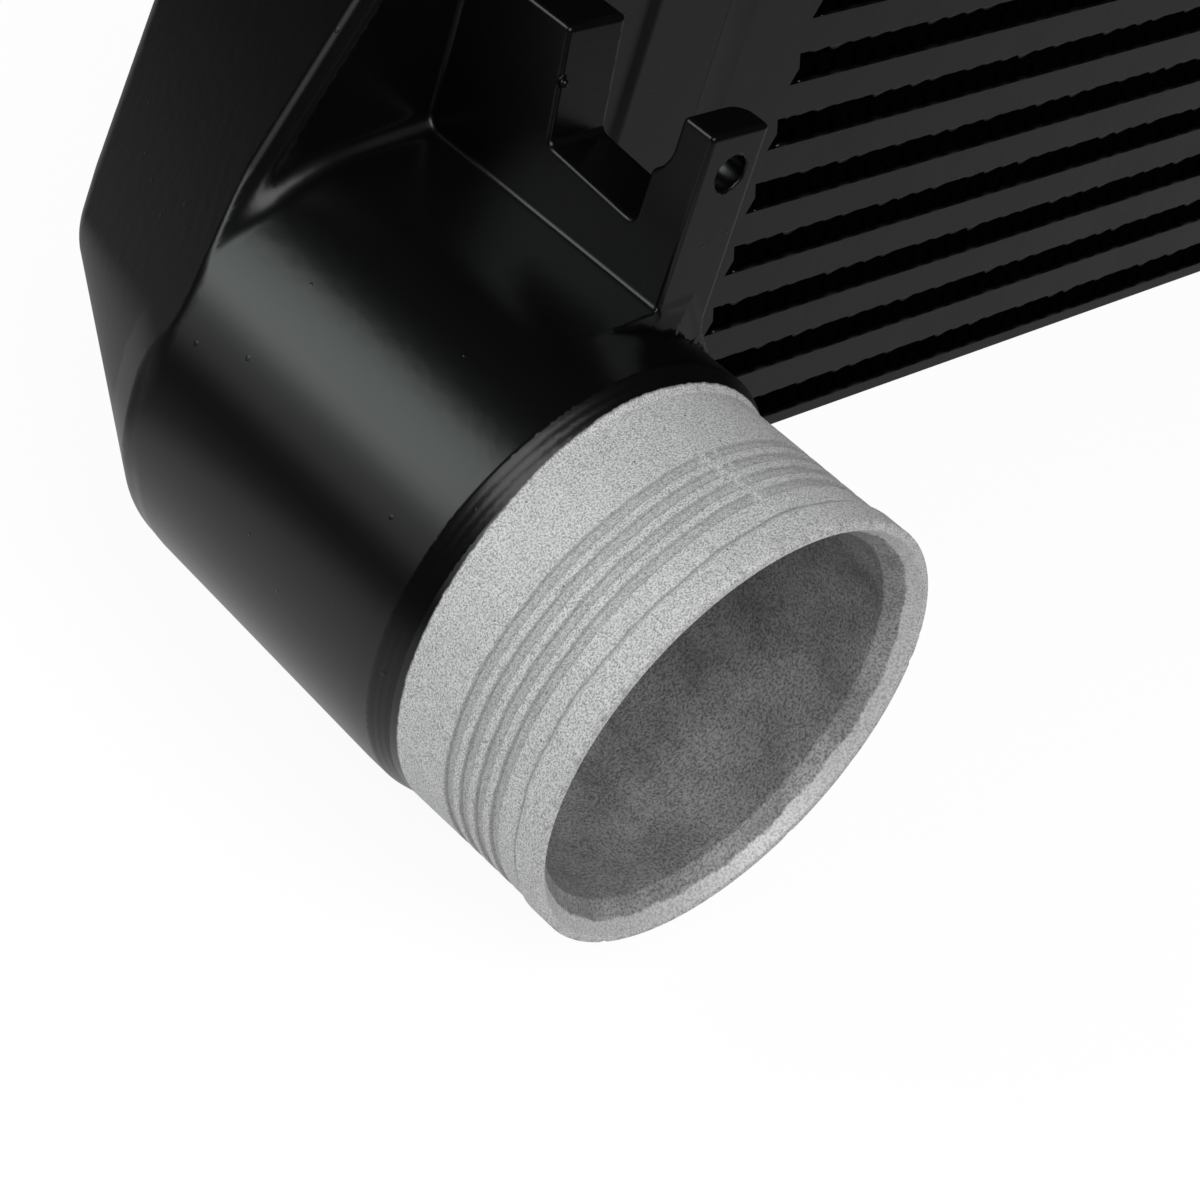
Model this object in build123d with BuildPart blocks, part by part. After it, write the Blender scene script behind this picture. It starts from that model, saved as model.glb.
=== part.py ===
"""Air-to-air intercooler: a brazed bar-and-plate core with a cast end tank welded to each end.

X runs along the core, Y through it from the face that meets the cooling air, and Z is up.
The origin is the middle of the core's underside. All sizes are in millimetres.

The hot charge air enters one neck, spreads through that end tank, crosses the core inside
the flat passages, past their turbulators, and leaves by the other tank. The cooling air
crosses from front to back between the passages, through the corrugated fins.
"""

import os
from math import atan, cos, degrees, radians, sin, tan

from build123d import *

# ---- Core -------------------------------------------------------------------------------
CORE_LENGTH = 500.0  # seam to seam
CORE_DEPTH = 100.0
AIR_ROWS = 16
FIN_HEIGHT = 6.5
PASSAGE_HEIGHT = 7.0
SIDE_PLATE = 2.6
HEADER_BAR = 16.6  # length of the short bar that closes each end of an air row
HEADER_NOSE = 1.2  # how far its pointed nose reaches towards the fins
PARTING_SHEET = 0.6
PASSAGE_BAR = 8.0
PITCH = FIN_HEIGHT + PASSAGE_HEIGHT
CORE_HEIGHT = 2 * SIDE_PLATE + AIR_ROWS * FIN_HEIGHT + (AIR_ROWS - 1) * PASSAGE_HEIGHT
CORE_END = CORE_LENGTH / 2
FRONT = -CORE_DEPTH / 2
BACK = CORE_DEPTH / 2

# ---- Air fins and turbulators -----------------------------------------------------------
FIN_FOLDS = 11
FIN_SHEET = 0.5  # measured straight up through the sloping sheet
FIN_SETBACK = 0.6  # behind the bars' front faces
TURBULATOR_FOLDS = 3

# ---- Hose neck and boss, turned about an axis along Y -----------------------------------
NECK_X = 333.0  # outboard of the core's middle
NECK_Z = 51.1
MOUTH_Y = -149.4
NECK_RADIUS = 38.5
BORE_RADIUS = 34.0
LIP_LENGTH = 6.2  # up to the line behind the lip
LIP_CHAMFER = 0.5
BORE_CHAMFER = 1.2
GROOVES = 4
GROOVE_PITCH = 3.33
GROOVE_DEPTH = 0.45
GROOVE_WIDTH = 1.7
FIRST_GROOVE_Y = -138.6
SHOULDER_Y = -111.4
SHOULDER = 2.5  # length of the boss's front ring
BOSS_CHAMFER = 0.6
BOSS_RADIUS = 40.1
BOSS_Z = NECK_Z + 0.8  # the boss and the duct's outside are centred a little above the bore

# ---- End tank ---------------------------------------------------------------------------
WALL = 5.0
RIM_WALL = 6.0
RIM_WIDTH = 25.0
SKIRT_LENGTH = 15.0
SKIRT_DROP = 10.0
FIRST_BEND_Y = -64.0  # the duct turns here, behind the boss, towards the core
FIRST_BEND = 30.0  # degrees away from Y
SECOND_LEG = 40.5
SECOND_BEND = 52.7
LEAN = 23.5  # degrees that the outer wall leans inwards above the duct
RIDGE_CHAMFER = 4.7
BACK_EDGE_ROUND = 8.0
TOP_EDGE_ROUND = 4.0
GROOVE_FOR_WELD = 5.5
WELD_DEPTH = 3.0
WELD_SUNK = 0.4

# ---- Bracket lug on the boss ------------------------------------------------------------
LUG_THICKNESS = 13.5
LUG_X = NECK_X - 18.95  # its mid-plane
LUG_TOP = 123.5
LUG_FRONT = -101.4
FINGER_BACK = -95.9
FINGER_STEP = -93.2
FINGER_STEP_TOP = 112.6
NOTCH_FLOOR = 104.0
NOTCH_BACK = -72.9
NOTCH_BACK_TOP = -70.5
LUG_EDGE_CHAMFER = 0.6
FINGER_CORNER_ROUND = 3.5
CAST_BEVEL = 1.6
BOLT_X = NECK_X - 20.1
BOLT_Z = 115.2
BOLT_RADIUS = 3.1


def passage_base(index: int) -> float:
    """Underside of a charge passage; index 0 lies on the lowest air row."""
    return SIDE_PLATE + FIN_HEIGHT + index * PITCH


def row_base(index: int) -> float:
    """Underside of an air row; index 0 stands on the lower side plate."""
    return SIDE_PLATE + index * PITCH


def folded_strip(length: float, height: float, folds: int, sheet: float) -> list:
    """Closed outline of a zigzag strip that starts low and touches both sheets.

    length, height: box that the strip fills; folds: full waves; sheet: upright thickness.
    """
    step = length / (2 * folds)
    crests = [(-length / 2 + i * step, 0.0 if i % 2 == 0 else height - sheet) for i in range(2 * folds + 1)]
    return crests + [(x, z + sheet) for x, z in reversed(crests)]


# ---- The parts of the core --------------------------------------------------------------
def side_plate(base: float) -> Part:
    with BuildPart() as plate:
        with BuildSketch(Plane.XY.offset(base)):
            Rectangle(CORE_LENGTH, CORE_DEPTH)
        extrude(amount=SIDE_PLATE)
    return plate.part


def charge_passage(base: float) -> Part:
    """Two parting sheets brazed to a front and a rear bar, open at both ends."""
    with BuildPart() as passage:
        with BuildSketch(Plane.YZ.offset(-CORE_END)):
            with Locations((0, base + PASSAGE_HEIGHT / 2)):
                Rectangle(CORE_DEPTH, PASSAGE_HEIGHT)
                Rectangle(CORE_DEPTH - 2 * PASSAGE_BAR, PASSAGE_HEIGHT - 2 * PARTING_SHEET, mode=Mode.SUBTRACT)
        extrude(amount=CORE_LENGTH)
    return passage.part


def turbulator(base: float) -> Part:
    """Inner fin: its folds run along the passage and touch both sheets."""
    height = PASSAGE_HEIGHT - 2 * PARTING_SHEET
    outline = folded_strip(CORE_DEPTH - 2 * PASSAGE_BAR, height, TURBULATOR_FOLDS, FIN_SHEET)
    with BuildPart() as strip:
        with BuildSketch(Plane.YZ.offset(-CORE_END)):
            with BuildLine():
                Polyline(*[(y, base + PARTING_SHEET + z) for y, z in outline], close=True)
            make_face()
        extrude(amount=CORE_LENGTH)
    return strip.part


def air_fin(base: float) -> Part:
    """Outer fin: its folds run from front to back between the noses of the header bars."""
    length = CORE_LENGTH - 2 * (HEADER_BAR + HEADER_NOSE)
    outline = folded_strip(length, FIN_HEIGHT, FIN_FOLDS, FIN_SHEET)
    with BuildPart() as strip:
        with BuildSketch(Plane.XZ.offset(-BACK + FIN_SETBACK)):
            with BuildLine():
                Polyline(*[(x, base + z) for x, z in outline], close=True)
            make_face()
        extrude(amount=CORE_DEPTH - 2 * FIN_SETBACK)
    return strip.part


def header_bars(side: int) -> Part:
    """The short bars at one end, one in each air row, each with a pointed nose."""
    seam = side * CORE_END
    shoulder = side * (CORE_END - HEADER_BAR)
    nose = side * (CORE_END - HEADER_BAR - HEADER_NOSE)
    with BuildPart() as bars:
        with BuildSketch(Plane.XZ.offset(-BACK)):
            for row in range(AIR_ROWS):
                low = row_base(row)
                high = low + FIN_HEIGHT
                middle = (low + high) / 2
                Polygon((seam, low), (shoulder, low), (nose, middle), (shoulder, high), (seam, high), align=None)
        extrude(amount=CORE_DEPTH)
    return bars.part


# ---- The end tank -----------------------------------------------------------------------
def duct_points() -> list:
    """Centre line of the duct in plan, from the boss to the seam, for the tank at -X."""
    first = (-NECK_X, FIRST_BEND_Y)
    second = (
        first[0] + SECOND_LEG * sin(radians(FIRST_BEND)),
        first[1] + SECOND_LEG * cos(radians(FIRST_BEND)),
    )
    run = (-CORE_END - second[0]) / sin(radians(SECOND_BEND))
    return [first, second, (-CORE_END, second[1] + run * cos(radians(SECOND_BEND)))]


def beside(point: tuple, bend: float, out: float, y: float) -> tuple:
    """Point at a given y on the line that runs beside a leg of the duct, `out` away from it."""
    x0 = point[0] - out * cos(radians(bend))
    y0 = point[1] + out * sin(radians(bend))
    return (x0 + (y - y0) * tan(radians(bend)), y)


def crossing(out_1: float, out_2: float) -> tuple:
    """Where the lines beside the second and third legs of the duct meet in plan."""
    first, second, _ = duct_points()
    a = beside(first, FIRST_BEND, out_1, 0)
    b = beside(second, SECOND_BEND, out_2, 0)
    y = (b[0] - a[0]) / (tan(radians(FIRST_BEND)) - tan(radians(SECOND_BEND)))
    return (a[0] + y * tan(radians(FIRST_BEND)), y)


def leaning_plane(inset: float) -> Plane:
    """Plane of the outer wall, with its normal pointing out of the tank."""
    out = Vector(
        -cos(radians(LEAN)) * cos(radians(FIRST_BEND)),
        cos(radians(LEAN)) * sin(radians(FIRST_BEND)),
        sin(radians(LEAN)),
    )
    centre = Vector(-NECK_X, FIRST_BEND_Y, BOSS_Z)
    return Plane(origin=centre + out * (BOSS_RADIUS - inset), z_dir=out)


def upper_block(inset: float) -> Part:
    """The tank above the duct's middle: upright walls and a leaning one tangent to the duct."""
    first, second, _ = duct_points()
    radius = BOSS_RADIUS - inset
    front = FRONT + inset
    back = BACK - inset
    tangent_out = radius * cos(radians(LEAN))
    with BuildPart() as block:
        with BuildSketch(Plane.XY.offset(BOSS_Z)):
            Polygon(
                (-CORE_END, front),
                beside(first, FIRST_BEND, tangent_out, front),
                crossing(tangent_out, radius),
                beside(second, SECOND_BEND, radius, back),
                (-CORE_END, back),
                align=None,
            )
        extrude(amount=CORE_HEIGHT - inset - BOSS_Z)
        split(bisect_by=leaning_plane(inset), keep=Keep.BOTTOM)
        if inset == 0:
            leaning = block.faces().filter_by(leaning_plane(0))[0]
            chamfer(leaning.edges().group_by(Axis.Y)[0], RIDGE_CHAMFER)
            leaning = block.faces().filter_by(leaning_plane(0))[0]
            back_edge = Vector(*crossing(tangent_out, radius), BOSS_Z + radius)
            fillet(leaning.edges().sort_by_distance(back_edge)[0], BACK_EDGE_ROUND)
            leaning = block.faces().filter_by(leaning_plane(0))[0]
            fillet(leaning.edges().group_by(Axis.Z)[-1], TOP_EDGE_ROUND)
    return block.part


def mitre_plane() -> Plane:
    """Plane of the first bend, with its normal pointing along the duct."""
    half = radians(FIRST_BEND / 2)
    return Plane(origin=(-NECK_X, FIRST_BEND_Y, NECK_Z), z_dir=(sin(half), cos(half), 0))


def boss(length: float) -> Part:
    """Plain round length behind the boss's front ring."""
    with BuildPart() as cylinder:
        with BuildSketch(Plane(origin=(-NECK_X, SHOULDER_Y + SHOULDER, BOSS_Z), z_dir=(0, 1, 0))):
            Circle(BOSS_RADIUS)
        extrude(amount=length)
    return cylinder.part


def front_ring() -> Part:
    """Bevelled front of the boss, round the neck's root."""
    with BuildPart() as ring:
        with BuildSketch(Plane(origin=(-NECK_X, SHOULDER_Y, BOSS_Z), z_dir=(0, 1, 0))):
            Circle(BOSS_RADIUS)
        extrude(amount=SHOULDER)
        chamfer(ring.edges().sort_by(Axis.Y)[0], BOSS_CHAMFER)
        with BuildSketch(Plane(origin=(-NECK_X, SHOULDER_Y, NECK_Z), z_dir=(0, 1, 0))):
            Circle(BORE_RADIUS)
        extrude(amount=SHOULDER, mode=Mode.SUBTRACT)
    return ring.part


def outer_boss() -> Part:
    """The boss as cast: straight until the tank's walls cut it off.

    Only its lower outboard quarter stops at the mitred bend, where the duct takes over.
    """
    outboard = Vector(-cos(radians(FIRST_BEND)), sin(radians(FIRST_BEND)), 0)
    duct_side = Vector(-NECK_X, FIRST_BEND_Y, BOSS_Z) + outboard * BOSS_RADIUS
    length = FRONT + 2 * WALL - SHOULDER_Y
    with BuildPart() as beyond_bend:
        add(boss(length))
        split(bisect_by=mitre_plane(), keep=Keep.TOP)
        split(bisect_by=Plane.XY.offset(BOSS_Z), keep=Keep.BOTTOM)
        split(bisect_by=Plane.YZ.offset(-NECK_X), keep=Keep.BOTTOM)
    with BuildPart() as whole:
        add(boss(length))
        split(bisect_by=leaning_plane(0), keep=Keep.BOTTOM)
        split(bisect_by=Plane(origin=duct_side, z_dir=outboard), keep=Keep.BOTTOM)
        add(beyond_bend.part, mode=Mode.SUBTRACT)
    return whole.part


def duct(radius: float, z: float) -> Part:
    """Round pipe with two mitred bends, from behind the neck to the seam, centred at a height."""
    first, second, last = duct_points()
    start = (-NECK_X, SHOULDER_Y + SHOULDER, z)
    with BuildPart() as pipe:
        with BuildLine() as route:
            Polyline(start, (*first, z), (*second, z), (*last, z))
        with BuildSketch(Plane(origin=start, z_dir=(0, 1, 0))):
            Circle(radius)
        sweep(path=route.line, transition=Transition.RIGHT)
    return pipe.part


def outer_duct() -> Part:
    """The duct behind the front wall, with its lower outboard quarter up to the neck."""
    first = (-NECK_X, FIRST_BEND_Y, BOSS_Z)
    outboard = (-cos(radians(FIRST_BEND)), sin(radians(FIRST_BEND)), 0)
    with BuildPart() as quarter:
        add(duct(BOSS_RADIUS, BOSS_Z))
        split(bisect_by=Plane.XY.offset(BOSS_Z), keep=Keep.BOTTOM)
        split(bisect_by=Plane(origin=first, z_dir=outboard), keep=Keep.TOP)
    with BuildPart() as whole:
        add(duct(BOSS_RADIUS, BOSS_Z))
        split(bisect_by=Plane.XZ.offset(-FRONT), keep=Keep.BOTTOM)
        add(quarter.part)
    return whole.part


def lower_block(inset: float, radius: float, z: float) -> Part:
    """Inboard of a duct of this radius and height, from its lowest point into the upper block."""
    first, second, last = duct_points()
    front = FRONT + inset
    with BuildPart() as block:
        with BuildSketch(Plane.XY.offset(z - radius)):
            Polygon((-CORE_END, front), beside(first, FIRST_BEND, 0, front), second, last, align=None)
        extrude(amount=radius * (1 + sin(radians(LEAN))))
    return block.part


def tank_form(inset: float, end: float) -> Part:
    """Outer form of the tank at -X behind the neck, or its hollow when inset is the wall."""
    with BuildPart() as form:
        add(upper_block(inset))
        if inset == 0:
            add(lower_block(inset, BOSS_RADIUS, BOSS_Z))
            add(outer_duct())
            add(outer_boss())
        else:
            add(lower_block(inset, BORE_RADIUS, NECK_Z))
            add(duct(BORE_RADIUS, NECK_Z))
        with Locations((end, BACK - inset, 0)):
            Box(200, 200, CORE_HEIGHT, align=(Align.MAX, Align.MAX, Align.MIN), mode=Mode.INTERSECT)
    return form.part


def neck_ring() -> Part:
    """Neck with its lip line, grooves and bevelled mouth, turned as one ring into the boss."""
    axis_frame = Plane(origin=(-NECK_X, 0, NECK_Z))
    root_y = SHOULDER_Y + SHOULDER
    groove_line = []
    for y in [MOUTH_Y + LIP_LENGTH] + [FIRST_GROOVE_Y + i * GROOVE_PITCH for i in range(GROOVES)]:
        groove_line += [
            (NECK_RADIUS, y - GROOVE_WIDTH / 2),
            (NECK_RADIUS - GROOVE_DEPTH, y),
            (NECK_RADIUS, y + GROOVE_WIDTH / 2),
        ]
    with BuildPart() as neck:
        with BuildSketch(axis_frame):
            with BuildLine():
                Polyline(
                    (BORE_RADIUS, root_y),
                    (BORE_RADIUS, MOUTH_Y + BORE_CHAMFER),
                    (BORE_RADIUS + BORE_CHAMFER, MOUTH_Y),
                    (NECK_RADIUS - LIP_CHAMFER, MOUTH_Y),
                    (NECK_RADIUS, MOUTH_Y + LIP_CHAMFER),
                    *groove_line,
                    (NECK_RADIUS, root_y),
                    close=True,
                )
            make_face()
        revolve(axis=Axis((-NECK_X, 0, NECK_Z), (0, 1, 0)))
    return neck.part


def weld_ring(sunk: float) -> Part:
    """Triangular ring of weld metal round the seam; its face lies `sunk` below the walls."""
    taper = degrees(atan(WELD_DEPTH / GROOVE_FOR_WELD))
    with BuildPart() as ring:
        with BuildSketch(Plane.YZ.offset(-CORE_END - GROOVE_FOR_WELD)):
            with Locations((0, CORE_HEIGHT / 2)):
                Rectangle(CORE_DEPTH - 2 * sunk, CORE_HEIGHT - 2 * sunk)
        extrude(amount=GROOVE_FOR_WELD)
        with BuildSketch(Plane.YZ.offset(-CORE_END - GROOVE_FOR_WELD)):
            with Locations((0, CORE_HEIGHT / 2)):
                Rectangle(CORE_DEPTH, CORE_HEIGHT)
        extrude(amount=GROOVE_FOR_WELD, taper=taper, mode=Mode.SUBTRACT)
    return ring.part


def lug() -> Part:
    """Notched bracket lug: a thin drilled finger in front and a block behind the notch."""
    foot = BOSS_Z + BOSS_RADIUS / 2  # inside the boss
    near_side = -LUG_X - LUG_THICKNESS / 2
    with BuildPart() as body:
        with BuildSketch(Plane.YZ.offset(near_side)):
            Polygon(
                (LUG_FRONT, foot),
                (LUG_FRONT, LUG_TOP),
                (FINGER_BACK, LUG_TOP),
                (FINGER_BACK, FINGER_STEP_TOP + FINGER_STEP - FINGER_BACK),
                (FINGER_STEP, FINGER_STEP_TOP),
                (FINGER_STEP, NOTCH_FLOOR),
                (NOTCH_BACK, NOTCH_FLOOR),
                (NOTCH_BACK_TOP, LUG_TOP),
                (FRONT, LUG_TOP),
                (FRONT, foot),
                align=None,
            )
        extrude(amount=LUG_THICKNESS)
        inner_corner = (near_side + LUG_THICKNESS, FINGER_BACK, LUG_TOP)
        fillet(body.edges().filter_by(Axis.Z).sort_by_distance(inner_corner)[0], FINGER_CORNER_ROUND)
        front_edges = body.edges().filter_by(Axis.Z).group_by(Axis.Y)[0]
        chamfer(front_edges, LUG_EDGE_CHAMFER)
        top_edges = body.edges().group_by(Axis.Z)[-1]
        chamfer(top_edges.filter_by_position(Axis.Y, LUG_FRONT, FRONT - 1), LUG_EDGE_CHAMFER)
        with BuildSketch(Plane.XZ.offset(-LUG_FRONT)):
            with Locations((-BOLT_X, BOLT_Z)):
                Circle(BOLT_RADIUS)
        extrude(amount=LUG_FRONT - FINGER_STEP, mode=Mode.SUBTRACT)
    return body.part


def rim() -> Part:
    """Square rim that meets the core, tapered behind to a skirt that runs into the walls."""
    with BuildPart() as block:
        with BuildSketch(Plane.YZ.offset(-CORE_END)):
            with Locations((0, CORE_HEIGHT / 2)):
                Rectangle(CORE_DEPTH, CORE_HEIGHT)
        extrude(amount=-RIM_WIDTH - SKIRT_LENGTH)
        outer_face = block.faces().sort_by(Axis.X)[0]
        chamfer(outer_face.edges(), SKIRT_DROP, SKIRT_LENGTH, reference=outer_face)
    return block.part


def end_tank() -> Part:
    """The casting at -X: neck, boss, duct, leaning outer wall, rim, lug and hollow in one."""
    rim_start = -CORE_END - RIM_WIDTH
    mid_height = CORE_HEIGHT / 2
    lug_sides = [-LUG_X - LUG_THICKNESS / 2, -LUG_X + LUG_THICKNESS / 2]
    with BuildPart() as tank:
        add(tank_form(0, -CORE_END))
        add(rim())
        add(neck_ring())
        add(front_ring())
        add(lug())
        # Metal left in the corners where the lug and the boss run into the walls.
        boss_top = BOSS_Z + BOSS_RADIUS
        corners = [(-NECK_X - LUG_THICKNESS, FRONT, boss_top)]
        for x in lug_sides:
            corners += [(x, FRONT, NOTCH_FLOOR), (x, NOTCH_BACK, BOSS_Z + BOSS_RADIUS * 0.9)]
        chamfer([tank.edges().sort_by_distance(corner)[0] for corner in corners], CAST_BEVEL)
        add(weld_ring(-1.0), mode=Mode.SUBTRACT)
        # The hollow: the same form inside the wall, and a straight opening in the rim.
        add(tank_form(WALL, rim_start + RIM_WALL), mode=Mode.SUBTRACT)
        with BuildSketch(Plane.YZ.offset(rim_start)):
            with Locations((0, mid_height)):
                Rectangle(CORE_DEPTH - 2 * RIM_WALL, CORE_HEIGHT - 2 * RIM_WALL)
        extrude(amount=RIM_WIDTH, mode=Mode.SUBTRACT)
    return tank.part


# ---- Build, mirror and write every piece ------------------------------------------------
pieces = {}
for row in range(AIR_ROWS):
    pieces[f"air_fin_{row + 1:02d}"] = air_fin(row_base(row))
for level in range(AIR_ROWS - 1):
    pieces[f"charge_passage_{level + 1:02d}"] = charge_passage(passage_base(level))
    pieces[f"turbulator_{level + 1:02d}"] = turbulator(passage_base(level))
pieces["header_bars_left"] = header_bars(-1)
pieces["header_bars_right"] = header_bars(1)
pieces["side_plate_bottom"] = side_plate(0)
pieces["side_plate_top"] = side_plate(CORE_HEIGHT - SIDE_PLATE)
pieces["tank_left"] = end_tank()
pieces["tank_right"] = mirror(pieces["tank_left"], about=Plane.YZ)
pieces["weld_left"] = weld_ring(WELD_SUNK)
pieces["weld_right"] = mirror(pieces["weld_left"], about=Plane.YZ)

os.makedirs("parts", exist_ok=True)
for name, piece in pieces.items():
    piece.label = name
    export_step(piece, f"parts/{name}.step")
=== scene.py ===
"""Looks of an air-to-air intercooler: cast tanks, hose necks, fins, welds and finishes.

Sizes are in millimetres in the frame of the solids; a mesh is turned to metres when it is
made. X runs along the core, Y from its front face to its back, and Z is up.
"""

import logging
from dataclasses import dataclass, field
from enum import Enum
from typing import Callable

import bpy
import numpy as np
from mathutils import Matrix, Vector

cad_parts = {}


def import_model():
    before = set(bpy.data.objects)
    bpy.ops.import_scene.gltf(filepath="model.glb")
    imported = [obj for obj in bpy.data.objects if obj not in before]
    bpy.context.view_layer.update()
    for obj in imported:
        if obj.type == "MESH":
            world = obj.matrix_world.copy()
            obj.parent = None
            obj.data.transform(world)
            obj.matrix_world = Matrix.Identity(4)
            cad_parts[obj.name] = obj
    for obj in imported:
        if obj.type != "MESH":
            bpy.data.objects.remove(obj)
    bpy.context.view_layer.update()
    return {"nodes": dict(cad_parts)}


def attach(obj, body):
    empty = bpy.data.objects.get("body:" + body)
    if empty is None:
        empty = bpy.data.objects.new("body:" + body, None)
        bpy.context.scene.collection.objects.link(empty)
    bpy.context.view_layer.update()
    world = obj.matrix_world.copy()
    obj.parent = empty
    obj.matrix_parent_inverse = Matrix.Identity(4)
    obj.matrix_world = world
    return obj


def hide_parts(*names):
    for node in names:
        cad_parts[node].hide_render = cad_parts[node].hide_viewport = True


log = logging.getLogger("intercooler")

MM = 0.001
Array = np.ndarray
Form = Callable[[Array, Array, Array], Array]


class Side(Enum):
    """End of the core that a piece belongs to; the value is the sign of its X."""

    LEFT = -1
    RIGHT = 1

    @property
    def word(self) -> str:
        """Name of the side as the solids' names use it."""
        return self.name.lower()


# ---- Joining distances ------------------------------------------------------------------
def round_join(a: Array, b: Array, radius: float | Array) -> Array:
    """Union of two forms with a fillet where they meet.

    Inside the band where both distances are under the radius, the result is the radius less
    the length of the two shortfalls taken as legs of a right triangle.

    Args:
        a: Signed distance to the first form, negative inside.
        b: Signed distance to the second form.
        radius: Fillet radius.

    Returns:
        Signed distance to the joined form.
    """
    shortfall = np.hypot(np.maximum(radius - a, 0), np.maximum(radius - b, 0))
    return np.maximum(radius, np.minimum(a, b)) - shortfall


def round_cut(a: Array, b: Array, radius: float | Array) -> Array:
    """Intersection of two forms with a rounded edge.

    The mirror image of round_join: less the radius, plus the length of the two excesses.

    Args:
        a: Signed distance to the first form, negative inside.
        b: Signed distance to the second form.
        radius: Edge radius.

    Returns:
        Signed distance to what both forms share.
    """
    excess = np.hypot(np.maximum(radius + a, 0), np.maximum(radius + b, 0))
    return np.minimum(-radius, np.maximum(a, b)) + excess


def slope_of(form: Form, points: Array, step: float = 0.02) -> Array:
    """Gradient of a form at points, as half the difference over a small step each way.

    Args:
        form: Signed distance function of x, y and z.
        points: Points, one a row.
        step: Half the width of the difference.

    Returns:
        Gradient, one row a point.
    """
    slope = np.empty_like(points)
    for axis in range(3):
        shift = np.zeros(3)
        shift[axis] = step
        ahead, behind = points + shift, points - shift
        slope[:, axis] = (form(*ahead.T) - form(*behind.T)) / (2 * step)
    return slope


def settle(form: Form, points: Array, rounds: int = 4) -> Array:
    """Moves points onto the surface where a form is zero.

    Each round steps along the gradient by the distance over its squared length.

    Args:
        form: Signed distance function of x, y and z.
        points: Points near the surface, one a row.
        rounds: Number of steps.

    Returns:
        The moved points.
    """
    for _ in range(rounds):
        slope = slope_of(form, points)
        steep = np.maximum((slope**2).sum(1), 0.2)
        step = np.clip(form(*points.T) / steep, -0.8, 0.8)
        points = points - step[:, None] * slope
    return points


def net_surface(form: Form, xs: Array, ys: Array, zs: Array) -> tuple[Array, Array]:
    """Closed net of quads round a form, with one point in each cell that its surface crosses.

    A point is the mean of the places where its cell's edges cross the surface, and each
    crossed edge carries one quad through the four cells round it.

    Args:
        form: Signed distance function, positive at the grid's border.
        xs: Grid planes along X.
        ys: Grid planes along Y.
        zs: Grid planes along Z.

    Returns:
        Points, one a row, and quads of point numbers.
    """
    planes = (xs, ys, zs)
    value = form(*np.meshgrid(xs, ys, zs, indexing="ij", sparse=True)).astype(np.float32)
    counts = np.array(value.shape)
    stride = np.array([counts[1] * counts[2], counts[2], 1])
    cells, places, quads = [], [], []
    for axis in range(3):
        low = np.take(value, np.arange(counts[axis] - 1), axis)
        high = np.take(value, np.arange(1, counts[axis]), axis)
        spot = np.array(np.nonzero((low < 0) != (high < 0))).T
        a, b = low[tuple(spot.T)], high[tuple(spot.T)]
        place = np.stack([planes[k][spot[:, k]] for k in range(3)], 1)
        width = planes[axis][spot[:, axis] + 1] - planes[axis][spot[:, axis]]
        place[:, axis] += width * a / (a - b)
        u, v = (axis + 1) % 3, (axis + 2) % 3
        corner = spot @ stride
        ring = np.stack([corner, corner - stride[u], corner - stride[u] - stride[v], corner - stride[v]], 1)
        ring[a >= 0] = ring[a >= 0][:, ::-1]
        cells.append(ring.ravel())
        places.append(np.repeat(place, 4, axis=0))
        quads.append(ring)
    cells, places, quads = np.concatenate(cells), np.concatenate(places), np.concatenate(quads)
    used, number = np.unique(cells, return_inverse=True)
    share = np.bincount(number)
    points = np.stack([np.bincount(number, places[:, k]) / share for k in range(3)], 1)
    return points, np.searchsorted(used, quads)


def grid_quads(rows: int, columns: int, close_rows: bool, close_columns: bool) -> Array:
    """Quads of a grid of points numbered row by row.

    Args:
        rows: Number of rows.
        columns: Number of points in a row.
        close_rows: Whether the last row joins the first.
        close_columns: Whether a row's last point joins its first.

    Returns:
        Quads of point numbers; for rows that run along U and columns along V they face
        the side that U cross V points to.
    """
    i, j = np.meshgrid(
        np.arange(rows if close_rows else rows - 1),
        np.arange(columns if close_columns else columns - 1),
        indexing="ij",
    )
    i2, j2 = (i + 1) % rows, (j + 1) % columns
    corners = [i * columns + j, i2 * columns + j, i2 * columns + j2, i * columns + j2]
    return np.stack(corners, -1).reshape(-1, 4)


# ---- Making a piece ---------------------------------------------------------------------
def fill_mesh(mesh: bpy.types.Mesh, points: Array, faces: Array) -> None:
    """Puts points in metres and faces of one corner count into an empty mesh.

    Args:
        mesh: Empty mesh.
        points: Points, one a row.
        faces: Point numbers, one face a row.
    """
    count, corners = faces.shape
    mesh.vertices.add(len(points))
    mesh.vertices.foreach_set("co", points.astype(np.float32).ravel())
    mesh.loops.add(count * corners)
    mesh.loops.foreach_set("vertex_index", faces.astype(np.int32).ravel())
    mesh.polygons.add(count)
    mesh.polygons.foreach_set("loop_start", np.arange(0, count * corners, corners, dtype=np.int32))
    mesh.polygons.foreach_set("use_smooth", np.ones(count, dtype=bool))
    mesh.update(calc_edges=True)
    mesh.validate()


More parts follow.
